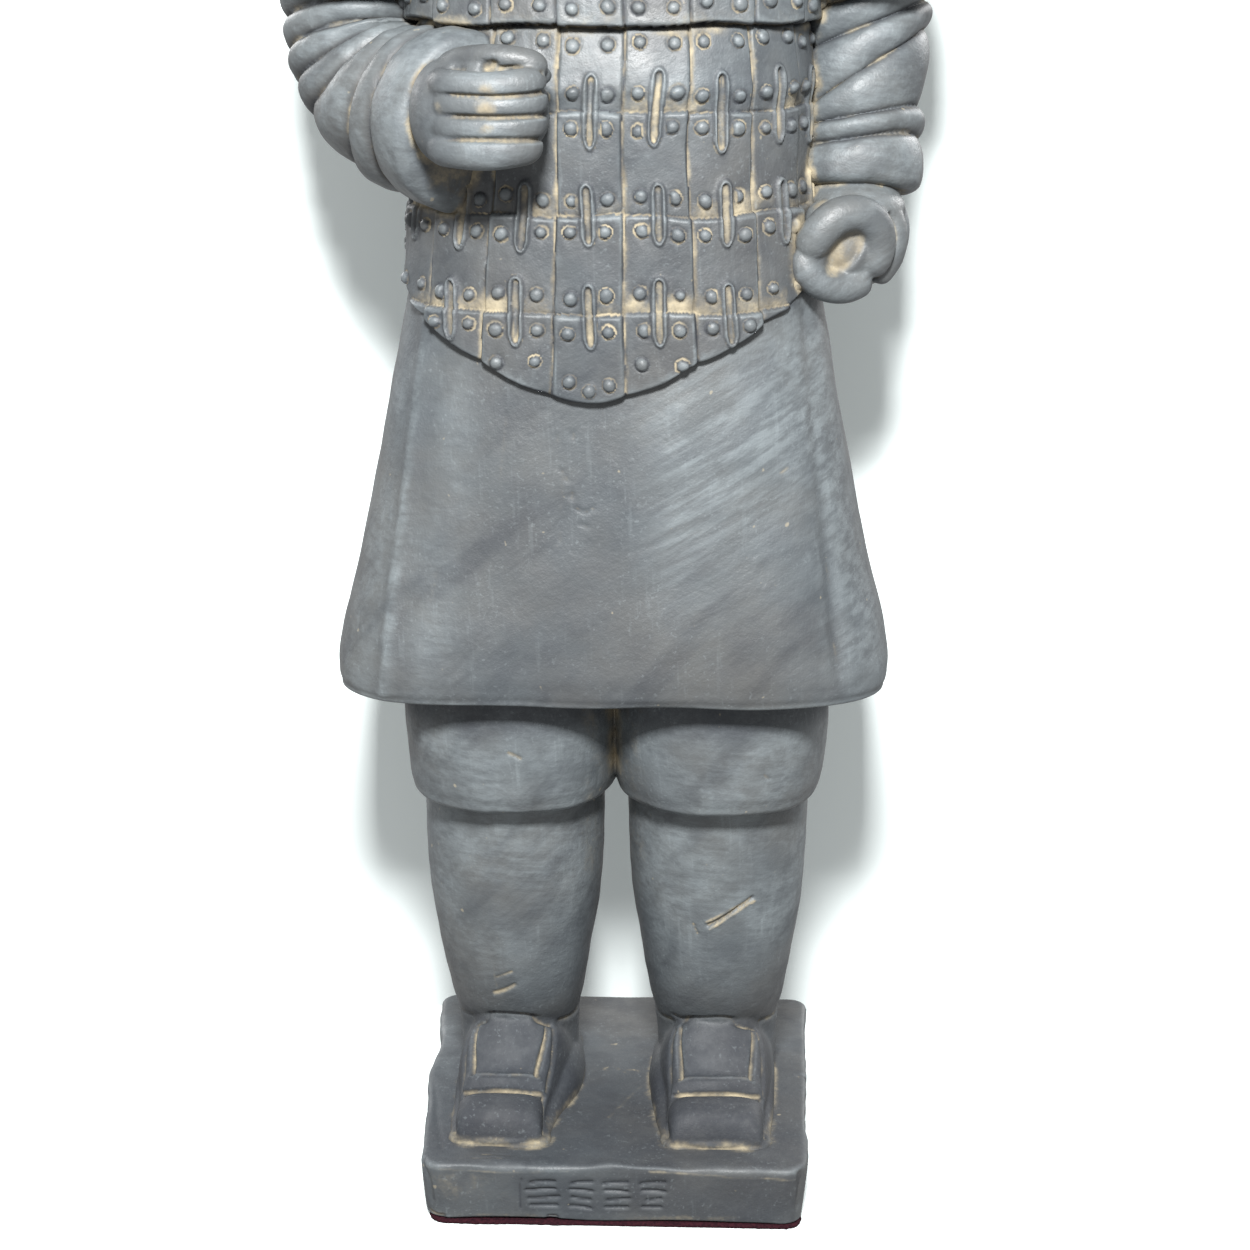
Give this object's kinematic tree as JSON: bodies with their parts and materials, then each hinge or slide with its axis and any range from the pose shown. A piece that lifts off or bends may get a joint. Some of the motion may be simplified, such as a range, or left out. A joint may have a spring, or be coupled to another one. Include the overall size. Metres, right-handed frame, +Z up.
{
  "type": "terracotta warrior statue",
  "caption": "Standing armoured warrior figure in grey fired clay, moulded in one with a low square plinth, with a thin felt pad under it.",
  "frame": {"origin": "middle of the felt pad's underside, on the surface that the statue stands on", "axes": "+Z up through the figure, which faces -Y, with its right hand, the raised fist, on the -X side"},
  "size_m": [0.126, 0.0902, 0.3501],
  "materials": {
    "clay": "unglazed blue-grey fired clay, rubbed paler on its high places, with pale soil left in its recesses",
    "felt": "thin maroon felt"
  },
  "bodies": {
    "root": {"statue": "clay", "felt_pad": "felt"}
  },
  "joints": []
}
